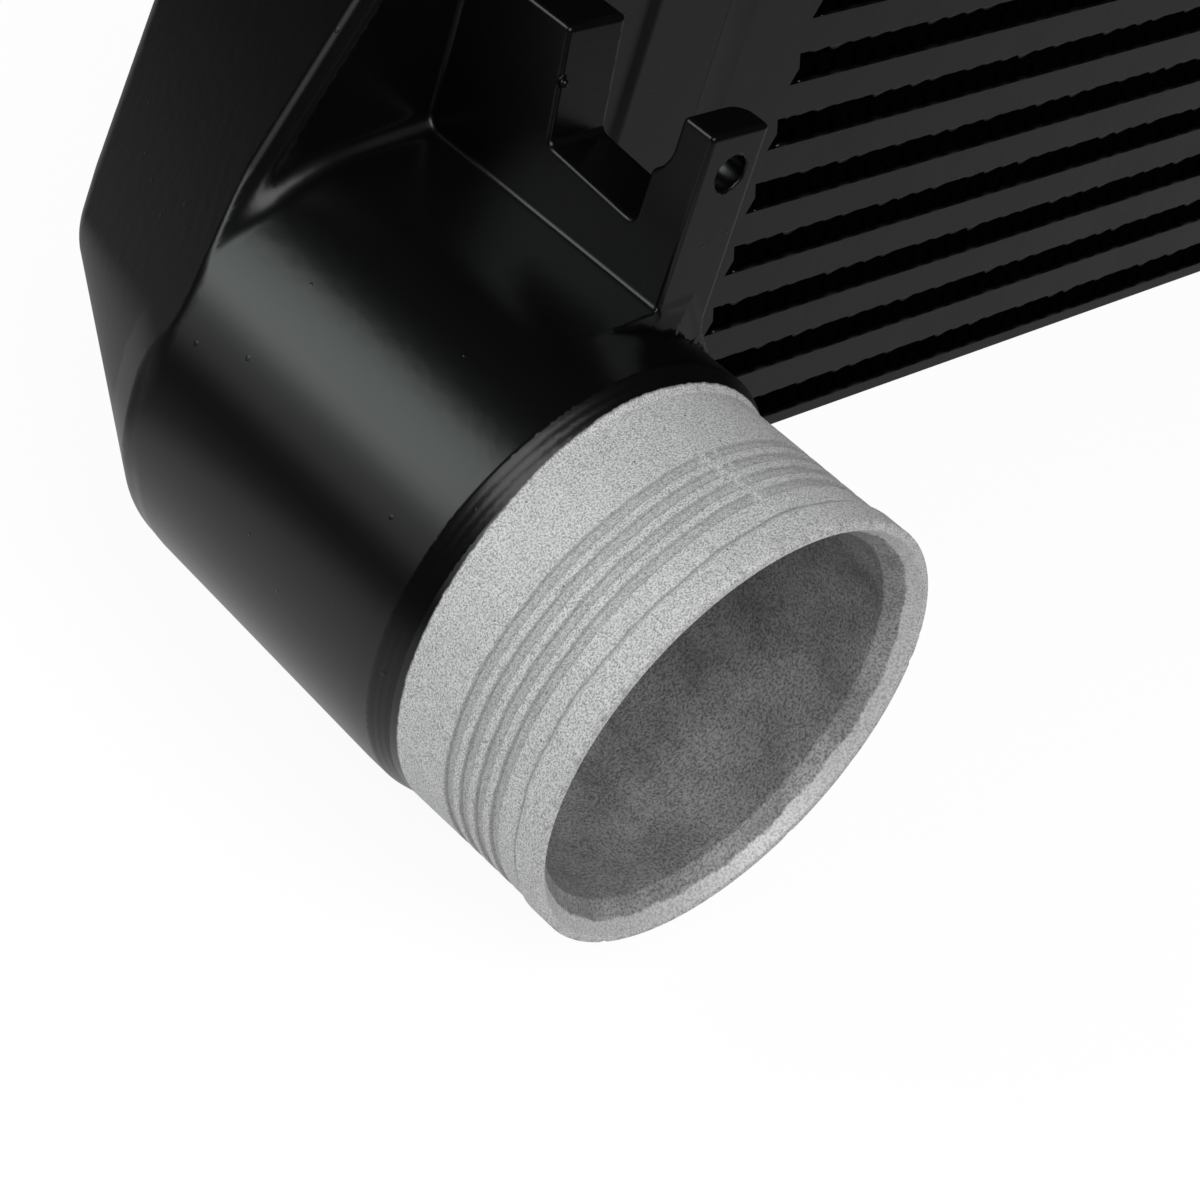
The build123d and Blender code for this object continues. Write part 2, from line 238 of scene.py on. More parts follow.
def make_piece(
    name: str,
    points: Array,
    faces: Array,
    finishes: list[bpy.types.Material],
    stands_for: list[str],
    normals: Array | None = None,
    finish_of_face: Array | None = None,
) -> bpy.types.Object:
    """Args:
        name: Name of the piece.
        points: Points in millimetres.
        faces: Point numbers, one face a row.
        finishes: Materials, in slot order.
        stands_for: Names of the solids that this piece replaces.
        normals: Normal at each point, for smooth shading over large faces.
        finish_of_face: Material slot number of each face.

    Returns:
        The new object.
    """
    mesh = bpy.data.meshes.new(name)
    fill_mesh(mesh, points * MM, faces)
    for finish in finishes:
        mesh.materials.append(finish)
    if finish_of_face is not None and len(finish_of_face) == len(mesh.polygons):
        mesh.polygons.foreach_set("material_index", finish_of_face.astype(np.int32))
    if normals is not None and len(normals) == len(mesh.vertices):
        mesh.normals_split_custom_set_from_vertices(normals.astype(np.float32))
    piece = bpy.data.objects.new(name, mesh)
    bpy.context.scene.collection.objects.link(piece)
    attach(piece, "root")
    if stands_for:
        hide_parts(*stands_for)
    log.info("%s: %d faces", name, len(faces))
    return piece


def mirrored(points: Array, faces: Array, side: Side) -> tuple[Array, Array]:
    """Points and faces made for the left end, turned over to the right end where asked.

    Args:
        points: Points of the left piece.
        faces: Its faces.
        side: End that the piece is for.

    Returns:
        Points and faces, facing outwards.
    """
    if side is Side.LEFT:
        return points, faces
    return points * np.array([-1.0, 1.0, 1.0]), faces[:, ::-1]


# ---- Finishes ---------------------------------------------------------------------------
class NodeDesk:
    """Node tree of one material, with short calls for the kinds of node used here."""

    def __init__(self, name: str) -> None:
        """Starts an empty material of this name."""
        self.material = bpy.data.materials.new(name)
        self.material.use_nodes = True
        self.tree = self.material.node_tree
        self.tree.nodes.clear()
        self.coords = self.tree.nodes.new("ShaderNodeTexCoord").outputs["Object"]

    def node(self, kind: str, inputs: dict | None = None, **settings) -> bpy.types.Node:
        """Adds a node.

        Args:
            kind: Node type.
            inputs: Values or sockets for its inputs, by name or number.
            **settings: Properties of the node.

        Returns:
            The node.
        """
        made = self.tree.nodes.new(kind)
        for key, value in settings.items():
            setattr(made, key, value)
        for key, value in (inputs or {}).items():
            if isinstance(value, bpy.types.NodeSocket):
                self.tree.links.new(value, made.inputs[key])
            else:
                made.inputs[key].default_value = value
        return made

    def noise(self, size: float, detail: float = 2.0, rough: float = 0.5) -> bpy.types.NodeSocket:
        """Noise with features of a size in millimetres, as a socket from 0 to 1."""
        inputs = {"Vector": self.coords, "Scale": 1 / (size * MM), "Detail": detail, "Roughness": rough}
        return self.node("ShaderNodeTexNoise", inputs).outputs["Fac"]

    def dots(self, size: float, spread: float = 1.0) -> bpy.types.NodeSocket:
        """Distance to scattered points about a size in millimetres apart."""
        inputs = {"Vector": self.coords, "Scale": 1 / (size * MM), "Randomness": spread}
        return self.node("ShaderNodeTexVoronoi", inputs).outputs["Distance"]

    def span(self, value: bpy.types.NodeSocket, low: float, high: float,
             to_low: float = 0.0, to_high: float = 1.0) -> bpy.types.NodeSocket:
        """Value stretched from one range to another and held at its ends."""
        inputs = {"Value": value, "From Min": low, "From Max": high, "To Min": to_low, "To Max": to_high}
        return self.node("ShaderNodeMapRange", inputs).outputs["Result"]

    def maths(self, operation: str, a, b) -> bpy.types.NodeSocket:
        """One sum on two values or sockets."""
        return self.node("ShaderNodeMath", {0: a, 1: b}, operation=operation).outputs[0]

    def blend(self, share: bpy.types.NodeSocket, a, b) -> bpy.types.NodeSocket:
        """Colour between a and b by a share from 0 to 1."""
        made = self.node("ShaderNodeMix", data_type="RGBA")
        for socket, value in zip((made.inputs[0], made.inputs[6], made.inputs[7]), (share, a, b)):
            if isinstance(value, bpy.types.NodeSocket):
                self.tree.links.new(value, socket)
            else:
                socket.default_value = value
        return made.outputs[2]

    def bump(self, height: bpy.types.NodeSocket, depth: float, strength: float = 1.0,
             under: bpy.types.NodeSocket | None = None) -> bpy.types.NodeSocket:
        """Normal of a relief whose height of 1 is a depth in millimetres."""
        inputs = {"Height": height, "Distance": depth * MM, "Strength": strength}
        if under is not None:
            inputs["Normal"] = under
        return self.node("ShaderNodeBump", inputs).outputs["Normal"]

    def finish(self, inputs: dict) -> bpy.types.Material:
        """Closes the material with a Principled shader that has these inputs."""
        shader = self.node("ShaderNodeBsdfPrincipled", inputs)
        self.node("ShaderNodeOutputMaterial", {"Surface": shader.outputs[0]})
        return self.material


def grey(value: float, tint: tuple[float, float, float] = (1.0, 1.0, 1.0)) -> tuple:
    """Colour of one brightness, with an optional tint."""
    return (value * tint[0], value * tint[1], value * tint[2], 1.0)


@dataclass(frozen=True)
class PowderCoat:
    """Gloss black powder coat: orange peel, fine grain and a few nibs of dust."""

    name: str = "gloss_black_powder_coat"
    colour: float = 0.002
    roughness: float = 0.28
    peel_size: float = 2.6
    peel_depth: float = 0.03
    grain_size: float = 0.45
    grain_depth: float = 0.002
    calm_from: float = 361.0  # distance from the middle along X where the relief starts to fade
    calm_at: float = 365.0  # and where none is left, on the smooth outermost wall

    def relief(self, desk: NodeDesk) -> bpy.types.NodeSocket:
        """Orange peel with grain and nibs on it, as a normal.

        Args:
            desk: The material's node desk.

        Returns:
            Normal socket.
        """
        along = desk.node("ShaderNodeSeparateXYZ", {0: desk.coords}).outputs["X"]
        outward = desk.maths("ABSOLUTE", along, 0.0)
        lively = desk.span(outward, self.calm_from * MM, self.calm_at * MM, 1.0, 0.0)
        lumps = desk.maths("MULTIPLY", desk.noise(self.peel_size, 1.5), lively)
        grains = desk.maths("MULTIPLY", desk.noise(self.grain_size, 3.0, 0.65), lively)
        peel = desk.bump(lumps, self.peel_depth)
        grain = desk.bump(grains, self.grain_depth, under=peel)
        nibs = desk.span(desk.dots(7.5), 0.035, 0.06, 1.0, 0.0)
        return desk.bump(nibs, 0.05, 0.8, under=grain)

    def make(self) -> bpy.types.Material:
        """Builds the material."""
        desk = NodeDesk(self.name)
        haze = desk.span(desk.noise(9.0, 3.0), 0.3, 0.7, self.roughness - 0.04, self.roughness + 0.04)
        shade = desk.blend(desk.noise(1.1, 2.0), grey(self.colour * 0.6), grey(self.colour * 1.4))
        return desk.finish({"Base Color": shade, "Roughness": haze, "IOR": 1.5, "Normal": self.relief(desk)})


@dataclass(frozen=True)
class FinCoat:
    """Thin satin black coat inside the fins, with dust in its pores."""

    name: str = "fin_coat_with_painted_shade"
    # painted shade: far darker than black paint, standing in for the shade deep in the rows between the bars,
    # over a real black coat
    colour: float = 0.0008
    roughness: float = 0.85

    def make(self) -> bpy.types.Material:
        """Builds the material."""
        desk = NodeDesk(self.name)
        shade = desk.blend(desk.noise(0.8, 3.0), grey(self.colour * 0.4), grey(self.colour * 1.8))
        relief = desk.bump(desk.noise(0.35, 3.0), 0.02)
        # the IOR of 1.06 leaves almost no reflection, which also paints the rows' shade
        return desk.finish({"Base Color": shade, "Roughness": self.roughness, "IOR": 1.06, "Normal": relief})


@dataclass(frozen=True)
class RawCasting:
    """Blasted sand-cast aluminium: salt-and-pepper sparkle, pores and slow mottling."""

    name: str = "blasted_cast_aluminium"
    colour: float = 0.74
    roughness: float = 0.6
    grain_size: float = 0.27
    contrast: float = 0.54  # how much darker the dark grains are, and by a third lighter the light
    grain_depth: float = 0.10
    mottle_size: float = 5.0
    mottle: float = 0.08
    painted_from: float | None = None  # Y behind which the powder coat lies over it
    lean_outward: float = 0.0325  # how far that line comes forward for each millimetre outward
    lean_upward: float = -0.026  # and for each millimetre upward
    lean_at_neck: float = 9.49  # what both come to at the neck's middle line
    turned: bool = False  # whether a turned edge shows bare metal, by the attribute "bare"

    def make(self) -> bpy.types.Material:
        """Builds the material.

        With painted_from it turns to powder coat behind a wavy line; with turned it shows
        cleaner metal where the mesh says that a cutter took the skin off.
        """
        desk = NodeDesk(self.name)
        fine = desk.noise(self.grain_size, 2.0, 0.65)
        sand = desk.noise(self.grain_size * 2.6, 3.0, 0.7)
        slow = desk.noise(self.mottle_size, 4.0, 0.6)
        dark, light = self.colour * (1 - self.contrast), self.colour * (1 + self.contrast / 3)
        speckle = desk.blend(desk.span(fine, 0.36, 0.58), grey(dark), grey(light))
        mottled = desk.blend(desk.span(slow, 0.3, 0.7, 0.0, self.mottle), speckle, grey(0.02))
        pores = desk.span(desk.dots(1.9), 0.07, 0.11, 1.0, 0.0)
        rare = desk.maths("MULTIPLY", pores, desk.span(desk.noise(2.7, 1.0), 0.56, 0.6))
        pitted = desk.blend(rare, mottled, grey(self.colour * 0.2))
        # painted shade: the neck's attribute darkens its grooves, the crease behind the lip and the pits
        painted_shade = desk.node("ShaderNodeAttribute", attribute_name="painted_shade").outputs["Fac"]
        shade = desk.blend(painted_shade, pitted, grey(self.colour * 0.3))
        rough_relief = desk.bump(sand, self.grain_depth * 1.3)
        relief = desk.bump(fine, self.grain_depth, under=rough_relief)
        if self.turned:
            bare = desk.node("ShaderNodeAttribute", attribute_name="bare").outputs["Fac"]
            ragged = desk.span(desk.noise(1.3, 3.0), 0.3, 0.7, -0.25, 0.25)
            share = desk.span(desk.maths("ADD", bare, ragged), 0.3, 0.7)
            bright = desk.blend(desk.span(fine, 0.36, 0.58), grey(0.5), grey(0.8))
            shade = desk.blend(share, shade, bright)
            relief = desk.blend(share, relief, desk.bump(fine, 0.04))
        inputs = {"Base Color": shade, "Roughness": self.roughness, "Metallic": 0.25, "Normal": relief}
        if self.painted_from is not None:
            inputs = self.masked(desk, inputs)
        return desk.finish(inputs)

    def masked(self, desk: NodeDesk, bare: dict) -> dict:
        """Shader inputs that change to powder coat behind the masking line.

        The line leans: its Y grows with Z and falls with the distance from the part's
        middle. It also wanders by slow noise and frays by fine noise.

        Args:
            desk: The material's node desk.
            bare: Inputs of the bare metal.

        Returns:
            Inputs of the whole surface.
        """
        coat = PowderCoat()
        split = desk.node("ShaderNodeSeparateXYZ", {0: desk.coords}).outputs
        outward = desk.maths("MULTIPLY", desk.maths("ABSOLUTE", split["X"], 0.0), self.lean_outward)
        upward = desk.maths("MULTIPLY", split["Z"], self.lean_upward)
        lean = desk.maths("ADD", desk.maths("ADD", outward, upward), -self.lean_at_neck * MM)
        place = desk.maths("ADD", split["Y"], lean)
        wander = desk.span(desk.noise(40.0, 1.0), 0.3, 0.7, -0.35 * MM, 0.35 * MM)
        fray = desk.span(desk.noise(1.6, 3.0), 0.3, 0.7, -0.12 * MM, 0.12 * MM)
        line = desk.maths("ADD", desk.maths("ADD", place, wander), fray)
        share = desk.span(line, (self.painted_from - 0.2) * MM, (self.painted_from + 0.2) * MM)
        shade = desk.blend(share, bare["Base Color"], grey(coat.colour))
        rough = desk.span(share, 0.0, 1.0, self.roughness, coat.roughness)
        metal = desk.span(share, 0.0, 1.0, bare["Metallic"], 0.0)
        normal = desk.blend(share, bare["Normal"], coat.relief(desk))
        return {"Base Color": shade, "Roughness": rough, "Metallic": metal, "Normal": normal, "IOR": 1.5}


@dataclass(frozen=True)
class BareSheet:
    """Brazed aluminium sheet inside the passages, dull and faintly streaked."""

    name: str = "brazed_aluminium_sheet"
    colour: float = 0.5

    def make(self) -> bpy.types.Material:
        """Builds the material."""
        desk = NodeDesk(self.name)
        shade = desk.blend(desk.noise(2.0, 3.0), grey(self.colour * 0.85), grey(self.colour * 1.1))
        relief = desk.bump(desk.noise(0.6, 2.0), 0.02)
        return desk.finish({"Base Color": shade, "Metallic": 1.0, "Roughness": 0.42, "Normal": relief})


# ---- The cast end tank ------------------------------------------------------------------
@dataclass
class CastTank:
    """Left end tank behind the neck: boss, bent duct, leaning outer wall, rim, lug and hollow."""

    neck_x: float = -333.0
    neck_z: float = 51.1
    duct_z: float = 51.9
    duct_radius: float = 40.3
    boss_top: float = 40.9  # above the neck's middle line
    rise_in_front: float = 0.9  # of the boss's middle over the neck's
    rise_to_back: float = 1.06  # on top of that
    wall_offset: float = 41.0
    neck_radius: float = 38.5
    bore_radius: float = 34.0
    shoulder_y: float = -111.3
    foot_y: float = -115.5  # where the shoulder's slope starts on the neck
    bend_y: float = -64.0
    second_bend: tuple[float, float] = (-312.75, -28.93)
    before_mouth: float = -170.0  # Y where the duct's first leg starts, clear of the neck
    duct_end: tuple[float, float] = (-240.0, 26.5)  # past the seam
    first_turn: float = np.radians(30.0)
    second_turn: float = np.radians(52.7)
    lean: float = np.radians(23.5)
    undercut: float = np.radians(19.0)
    widest_round: float = 9.0  # between the leaning wall and the undercut, at the bend
    tightest_round: float = 1.8  # and further back
    front: float = -48.6
    back: float = 50.0
    height: float = 214.2
    seam: float = -250.0
    wall: float = 5.0
    rim_width: float = 25.0
    skirt: tuple[float, float] = (10.0, 15.0)  # how far it falls, and over what length
    ridge_depth: float = 2.65  # how far the ridge is bevelled, straight in
    boss_fillet: float = 3.4  # to the front face, and 1 mm more on the far left
    lug_left: float = -320.9
    lug_right: float = -308.7
    lug_front: float = -101.8
    lug_top: float = 123.5
    finger_back: float = -95.4  # above the step
    step_back: float = -92.6  # below it
    step_top: float = 112.6
    notch_floor: float = 104.5  # at the notch's back, from where it falls to the front
    notch_back: float = -72.9
    block_lean: float = 2.4 / 19.5  # how far the block's front comes forward for its height
    lug_edge: float = 0.7
    hole: tuple[float, float, float] = (-314.3, 116.1, 2.95)  # X, Z and radius
    hole_end: float = -85.0
    nib: tuple[float, float, float] = (-320.5, -72.0, 114.9)
    nib_radius: float = 0.75
    pad_turns: tuple[float, float] = (np.radians(95.2), np.radians(34.9))  # from +X towards +Z
    pad_left: float = -3.6  # from the boss's middle
    pad_foot: float = 22.9  # above it
    groove_size: tuple[float, float] = (5.5, 3.0)  # along X and into the wall
    opening: tuple[float, float] = (44.0, 101.1)  # half the rim's opening along Y and Z
    coarse: float = 1.25
    fine: float = 0.55
    most_faces: int = 185_000

    def outboard(self, x: Array, y: Array, at: tuple[float, float], turn: float) -> Array:
        """Distance outboard of the upright plane through a leg of the duct."""
        return -np.cos(turn) * (x - at[0]) + np.sin(turn) * (y - at[1])

    def leaning(self, x: Array, y: Array, z: Array) -> Array:
        """Signed distance to the leaning outer wall."""
        out = self.outboard(x, y, (self.neck_x, self.bend_y), self.first_turn)
        return out * np.cos(self.lean) + (z - self.neck_z) * np.sin(self.lean) - self.wall_offset

    def outer_walls(self, x: Array, y: Array, z: Array) -> tuple[Array, Array]:
        """Outer walls beside the duct's second and third legs.

        Beside the second leg the leaning plane turns into a plane that undercuts by 19
        degrees, over a round that tightens towards the back; the undercut is tangent to
        the round duct below it. Beside the third leg the wall is upright above the duct's
        middle and round below. Inboard of a leg and under its middle both are flat.

        Args:
            x: X of the points.
            y: Y of the points.
            z: Z of the points.

        Returns:
            Signed distances to the two walls.
        """
        up = z - self.duct_z
        out = self.outboard(x, y, (self.neck_x, self.bend_y), self.first_turn)
        bottom = -up - self.duct_radius
        low = np.where(out > 0, np.hypot(out, up) - self.duct_radius, bottom)
        undercut = out * np.cos(self.undercut) - up * np.sin(self.undercut) - self.duct_radius
        along = (x - self.neck_x) * np.sin(self.first_turn) + (y - self.bend_y) * np.cos(self.first_turn)
        tighter = np.clip((along - 4) / 38, 0, 1)
        turn = self.widest_round - (self.widest_round - self.tightest_round) * tighter
        high = round_cut(self.leaning(x, y, z), undercut, turn)
        above = up > -np.maximum(out, 0) * np.tan(self.undercut)
        second = np.where(above, high, low)
        far = self.outboard(x, y, self.second_bend, self.second_turn)
        far_low = np.where(far > 0, np.hypot(far, up) - self.duct_radius, bottom)
        bulge = (self.wall_offset - self.duct_radius) * np.clip(up / 8, 0, 1)
        third = np.where(up > 0, far - self.duct_radius - bulge, far_low)
        return second, third

    def boss(self, x: Array, y: Array, z: Array) -> Array:
        """Boss with its sloping shoulder.

        The circle's middle rises and its radius shrinks by as much from front to back, so
        the top stays level. Two planes that touch the circle meet under the lug and carry
        it; just in front of it they sink into the boss. In front of that, the distance goes
        over evenly from the neck's circle to the boss's.

        Args:
            x: X of the points.
            y: Y of the points.
            z: Z of the points.

        Returns:
            Signed distance to the boss.
        """
        rise = self.rise_in_front + self.rise_to_back * np.clip((y + 107) / 55, 0, 1)
        across, up = x - self.neck_x, z - self.neck_z - rise
        radius = self.boss_top - rise
        left, right = (across * np.cos(turn) + up * np.sin(turn) for turn in self.pad_turns)
        sunk = radius - 6.0 * np.clip(self.lug_front - y, 0, 9.5)
        under_lug = np.maximum(left, right) - sunk
        under_lug = np.maximum(under_lug, np.maximum(self.pad_left - across, self.pad_foot - up))
        barrel = np.minimum(np.hypot(across, up) - radius, under_lug)
        neck = np.hypot(x - self.neck_x, z - self.neck_z) - (self.neck_radius - 0.14)
        share = np.clip((y - self.foot_y) / (self.shoulder_y - self.foot_y), 0, 1)
        step = 0.02 * np.sin(y * 2 * np.pi / 1.15) * np.sin(np.pi * share)
        slope = neck + (barrel - neck) * share + step
        return np.maximum(slope, self.foot_y - y)

    def body(self, x: Array, y: Array, z: Array) -> Array:
        """Walls and boss without the rim and the lug, solid."""
        front = self.front - y
        sum_length = np.sqrt(2 - 2 * np.cos(self.lean) * np.sin(self.first_turn))
        bevel = (front + self.leaning(x, y, z)) / sum_length + self.ridge_depth
        face = round_cut(front, bevel, 0.6)
        fillet = self.boss_fillet + 1.0 * np.clip((-336 - x) / 16, 0, 1)
        joined = round_join(self.boss(x, y, z), face, fillet)
        second, third = self.outer_walls(x, y, z)
        out = self.outboard(x, y, (self.neck_x, self.bend_y), self.first_turn)
        far = self.outboard(x, y, self.second_bend, self.second_turn)
        above = np.clip((z - 60) / 9, 0, 1)
        on_ridge = np.clip((z - 88) / 3, 0, 1)
        low_round = 2.2 * np.clip(out / self.duct_radius, 0, 1)
        bend_round = low_round * (1 - above) + (0.55 + 0.55 * on_ridge) * above + 0.001
        solid = round_cut(joined, second, bend_round)
        solid = round_cut(solid, third, 1.6 * np.clip(far / 20, 0, 1) + 0.001)
        solid = round_cut(solid, z - self.height, 1.5)
        solid = round_cut(solid, y - self.back, 1.5)
        return np.maximum(solid, x - self.seam)

    def rim(self, x: Array, y: Array, z: Array) -> Array:
        """Square rim at the seam with its skirt, which slopes down into the walls."""
        half_y, half_z = self.back, self.height / 2
        wide, tall = np.abs(y) - half_y, np.abs(z - half_z) - half_z
        block = round_cut(wide, tall, 1.0)
        fall, length = self.skirt
        behind = x - self.seam + self.rim_width
        slope_wide = (-fall * behind + length * wide) / np.hypot(fall, length)
        slope_tall = (-fall * behind + length * tall) / np.hypot(fall, length)
        block = np.maximum(block, np.maximum(slope_wide, slope_tall))
        return np.maximum(block, np.maximum(x - self.seam, self.seam - 40 - x))

    def lug(self, x: Array, y: Array, z: Array) -> Array:
        """Bracket lug: a drilled finger in front and a block behind the notch.

        The plan is a slab between two upright planes. The notch is what lies above its
        floor, behind the finger's stepped back and in front of the sloping block.

        Args:
            x: X of the points.
            y: Y of the points.
            z: Z of the points.

        Returns:
            Signed distance to the lug.
        """
        slab = np.maximum(self.lug_left - x, x - self.lug_right)
        top = z - self.lug_top
        front = self.lug_front - y
        thin = round_cut(y - self.finger_back, x - self.lug_right, 3.5)
        behind = y - self.step_back
        thick = np.maximum(behind, (behind + (z - self.step_top)) / np.sqrt(2))
        finger = round_join(thin, thick, 1.6)
        block = self.notch_back + self.block_lean * (z - 104.0) - y
        floor = z - self.notch_floor - 0.074 * (y - self.notch_back + 0.8)
        outline = round_join(round_join(floor, finger, 1.8), block, 1.0)
        outline = np.maximum(outline, np.maximum(y + 44, front))
        solid = round_cut(round_cut(outline, top, self.lug_edge), slab, self.lug_edge)
        solid = np.maximum(solid, 70.0 - z)
        away = np.sqrt((x - self.nib[0]) ** 2 + (y - self.nib[1]) ** 2 + (z - self.nib[2]) ** 2)
        solid = round_join(solid, away - self.nib_radius, 0.4)
        drilled = np.hypot(x - self.hole[0], z - self.hole[1]) - self.hole[2]
        return round_cut(solid, -np.maximum(drilled, y - self.hole_end), 0.3)

    def hollow(self, x: Array, y: Array, z: Array) -> Array:
        """Inside of the tank: the bent duct, the room above and beside it, and the rim's opening.

        In front of the front wall and inboard of the second leg, the duct keeps to the
        boss's straight bore, and it stops short of the back wall.

        Args:
            x: X of the points.
            y: Y of the points.
            z: Z of the points.

        Returns:
            Signed distance to the hollow.
        """
        legs = [(self.neck_x, self.before_mouth), (self.neck_x, self.bend_y), self.second_bend, self.duct_end]
        duct = np.inf
        for a, b in zip(legs[:-1], legs[1:]):
            run = np.subtract(b, a)
            share = np.clip(((x - a[0]) * run[0] + (y - a[1]) * run[1]) / (run @ run), 0, 1)
            away = np.hypot(x - a[0] - share * run[0], y - a[1] - share * run[1])
            duct = np.minimum(duct, np.hypot(away, z - self.neck_z) - self.bore_radius)
        far = self.outboard(x, y, self.second_bend, self.second_turn)
        out = self.outboard(x, y, (self.neck_x, self.bend_y), self.first_turn)
        ends = np.maximum(self.front + self.wall - y, y - self.back + self.wall)
        straight = np.hypot(x - self.neck_x, z - self.neck_z) - self.bore_radius
        duct = np.maximum(duct, np.minimum(straight, np.minimum(self.front + self.wall - y, -out)))
        duct = np.maximum(duct, y - self.back + self.wall)
        room = np.maximum(*self.outer_walls(x, y, z)) + self.wall
        overlap = 6  # by which the two rooms run into each other at the neck's height
        above = np.maximum(z - self.height + self.wall, self.neck_z - overlap - z)
        room = np.maximum(np.maximum(room, ends), above)
        foot = self.neck_z - self.bore_radius
        low = np.maximum(np.maximum(out, far), np.maximum(foot - z, z - self.neck_z - overlap))
        low = np.maximum(low, ends)
        mouth = np.maximum(np.abs(y) - self.opening[0], np.abs(z - self.height / 2) - self.opening[1])
        mouth = np.maximum(mouth, self.seam - self.rim_width - x)
        inside = round_join(duct, np.minimum(room, low), 3.0)
        return np.minimum(np.maximum(inside, x - self.seam + 1), mouth)

    def groove(self, x: Array, y: Array, z: Array) -> Array:
        """Bevelled groove round the seam that the weld fills, with a ground lead just under the bead."""
        inset = np.minimum(self.back - np.abs(y), self.height / 2 - np.abs(z - self.height / 2))
        width, depth = self.groove_size
        along = x - self.seam + width
        wedge = np.maximum((inset * width - along * depth) / np.hypot(width, depth), -along)
        lead = inset - 0.012 - 0.1 * np.sin(np.pi * np.clip((along + 1.7) / 7.2, 0, 1))
        return np.minimum(wedge, np.maximum(lead, -along - 1.9))

    def form(self, x: Array, y: Array, z: Array) -> Array:
        """Signed distance to the whole casting behind the neck.

        The body and the rim share flat faces, so they join without a fillet; the lug joins
        both with one. The weld's groove and then the hollow are taken away.

        Args:
            x: X of the points.
            y: Y of the points.
            z: Z of the points.

        Returns:
            Signed distance, negative in the metal.
        """
        shell = np.minimum(self.body(x, y, z), self.rim(x, y, z))
        shell = round_join(shell, self.lug(x, y, z), 0.9)
        shell = np.maximum(shell, -self.groove(x, y, z))
        return np.maximum(shell, -self.hollow(x, y, z))

    def planes(self, low: float, high: float, bands: list[tuple[float, float]]) -> Array:
        """Grid planes from low to high, closer together inside the bands."""
        marks = [low]
        ends = [(edge, step) for band in bands for edge, step in zip(band, (self.coarse, self.fine))]
        for end, step in ends + [(high, self.coarse)]:
            count = max(2, round((end - marks[-1]) / step))
            marks += list(np.linspace(marks[-1], end, count)[1:])
        return np.array(marks)

    def thinned(self, points: Array, quads: Array) -> tuple[Array, Array]:
        """Collapses edges on the flat walls until the piece is light enough.

        Args:
            points: Points of the net.
            quads: Its quads.

        Returns:
            Points and triangles.
        """
        mesh = bpy.data.meshes.new("net")
        fill_mesh(mesh, points, quads)
        holder = bpy.data.objects.new("net", mesh)
        bpy.context.scene.collection.objects.link(holder)
        lighter = holder.modifiers.new("lighter", "DECIMATE")
        lighter.ratio = min(1.0, self.most_faces / (2 * len(quads)))
        lighter.use_collapse_triangulate = True
        graph = bpy.context.evaluated_depsgraph_get()
        thin = bpy.data.meshes.new_from_object(holder.evaluated_get(graph), depsgraph=graph)
        spots = np.empty(len(thin.vertices) * 3, np.float32)
        thin.vertices.foreach_get("co", spots)
        corners = np.empty(len(thin.loops), np.int32)
        thin.loops.foreach_get("vertex_index", corners)
        bpy.data.objects.remove(holder)
        bpy.data.meshes.remove(mesh)
        bpy.data.meshes.remove(thin)
        return spots.reshape(-1, 3).astype(float), corners.reshape(-1, 3)

    def shape(self) -> tuple[Array, Array, Array, Array]:
        """Works out the left casting.

        Returns:
            Points, triangles, normal at each point, and 1 for each face inside the hollow.
        """
        xs = self.planes(-384.0, -248.6, [(-376.0, -364.0), (-322.0, -306.0), (-259.0, -249.0)])
        ys = self.planes(-116.6, 51.5, [(-116.0, -109.0), (-103.0, -92.0), (-75.0, -69.0), (-51.5, -43.5)])
        zs = self.planes(-1.6, 216.0, [(32.0, 58.0), (88.0, 125.0)])
        points, quads = net_surface(self.form, xs, ys, zs)
        log.info("net of the casting: %d quads", len(quads))
        points, faces = self.thinned(settle(self.form, points, 2), quads)
        points = settle(self.form, points)
        slope = slope_of(self.form, points)
        normals = slope / np.maximum(np.linalg.norm(slope, axis=1, keepdims=True), 1e-6)
        middle = points[faces].mean(1)
        inside = np.abs(self.hollow(*middle.T)) < 0.3
        return points, faces, normals, inside.astype(int)


